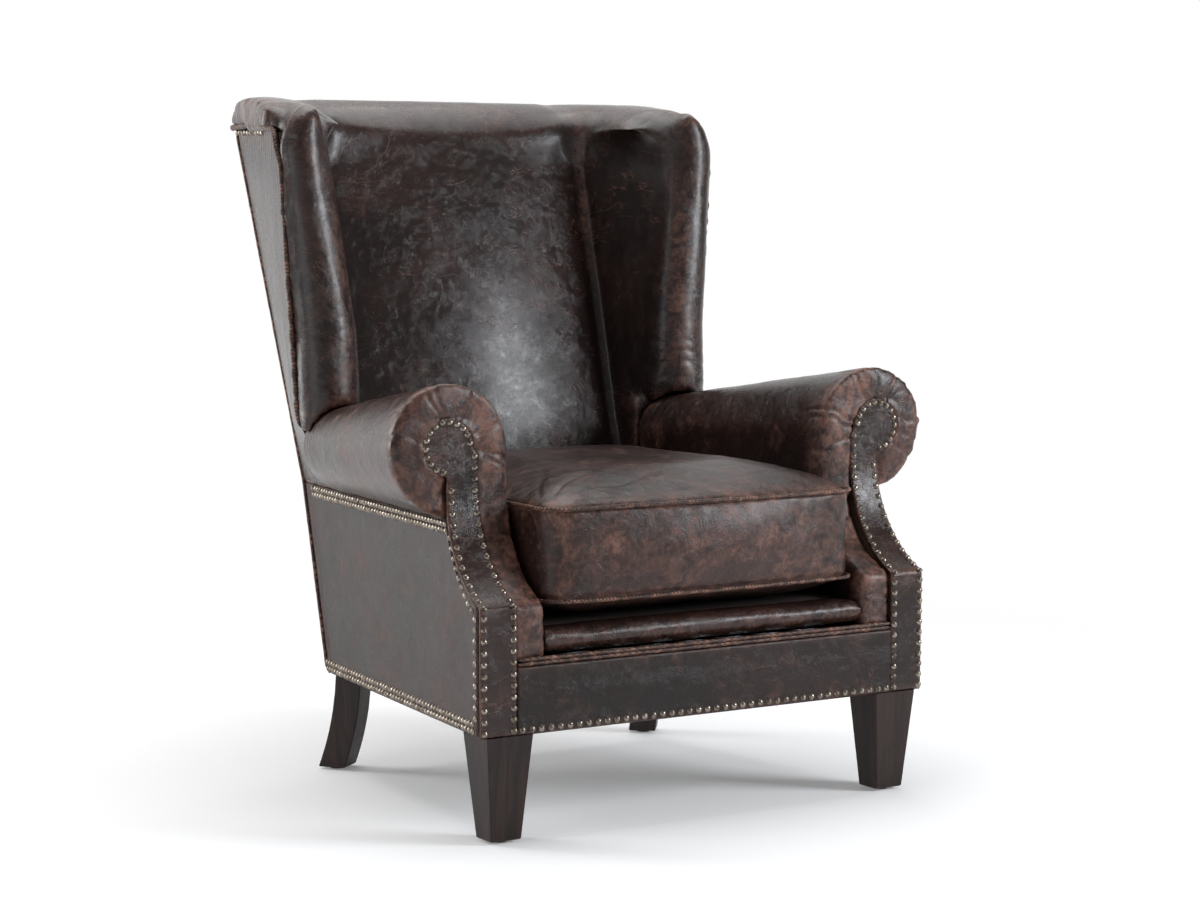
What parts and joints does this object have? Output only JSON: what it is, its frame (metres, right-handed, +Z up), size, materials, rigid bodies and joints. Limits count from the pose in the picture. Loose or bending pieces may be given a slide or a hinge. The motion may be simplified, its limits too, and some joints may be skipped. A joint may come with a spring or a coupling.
{
  "type": "wingback armchair",
  "caption": "Leather wingback armchair with scroll arms, nail trim, raked back, tapered wood legs and a lift-out box seat cushion.",
  "frame": {"origin": "on the floor, under the middle of the chair's overall box", "axes": "+Z up, +Y towards the back of the chair (the sitter faces -Y), +X towards the arm on the right as seen from the front"},
  "size_m": [0.95, 0.955, 1.072],
  "materials": {
    "antique_brass": "antique domed nail heads, dark and rubbed",
    "black_cloth": "plain woven black",
    "dark_wood": "espresso-stained hardwood, satin",
    "deck_cloth": "dark brown platform cloth over padding",
    "filling": "foam block in a fibre wrap",
    "frame_wood": "plain hardwood frame, unfinished",
    "glide_plastic": "black",
    "leather": "dark brown waxed pull-up leather with worn reddish rub-through",
    "leather_cushion": "dark brown waxed leather, as the chair",
    "leather_welt": "worn leather cord, paler along its top",
    "steel": "plain",
    "zip": "dark brown zip tape, teeth and slider"
  },
  "bodies": {
    "chair": {"arm_facing_left": "leather", "arm_facing_right": "leather", "arm_pad_left": "leather", "arm_pad_right": "leather", "arm_post_left": "frame_wood", "arm_post_right": "frame_wood", "arm_rail_left": "frame_wood", "arm_rail_right": "frame_wood", "back_post_left": "frame_wood", "back_post_right": "frame_wood", "back_rail": "frame_wood", "back_webbing": "black_cloth", "border_nails": "antique_brass", "border_welt": "leather_welt", "corner_blocks": "frame_wood", "crest_nails_left": "antique_brass", "crest_nails_right": "antique_brass", "crest_rail": "frame_wood", "crest_roll": "leather", "dust_cover": "black_cloth", "facing_nails_left": "antique_brass", "facing_nails_right": "antique_brass", "front_border": "leather", "front_leg_left": "dark_wood", "front_leg_right": "dark_wood", "front_rail": "frame_wood", "glides": "glide_plastic", "inside_back": "leather", "leg_bolts": "steel", "lower_back_rail": "frame_wood", "outside_back": "leather", "rear_leg_left": "dark_wood", "rear_leg_right": "dark_wood", "seat_deck": "deck_cloth", "seat_lip": "leather", "seat_springs": "steel", "side_nails_left": "antique_brass", "side_nails_right": "antique_brass", "side_panel_left": "leather", "side_panel_right": "leather", "side_rail_left": "frame_wood", "side_rail_right": "frame_wood", "spring_clips": "steel", "wing_board_left": "frame_wood", "wing_board_right": "frame_wood", "wing_outer_left": "leather", "wing_outer_right": "leather", "wing_pad_left": "leather", "wing_pad_right": "leather"},
    "seat_cushion": {"cushion_core": "filling", "cushion_cover": "leather_cushion", "cushion_welts": "leather_welt", "cushion_zip": "zip"}
  },
  "joints": [
    {"name": "cushion_lift", "type": "slide", "parent": "chair", "child": "seat_cushion", "axis": [0, 0, 1], "range_m": [0, 0.4]}
  ]
}
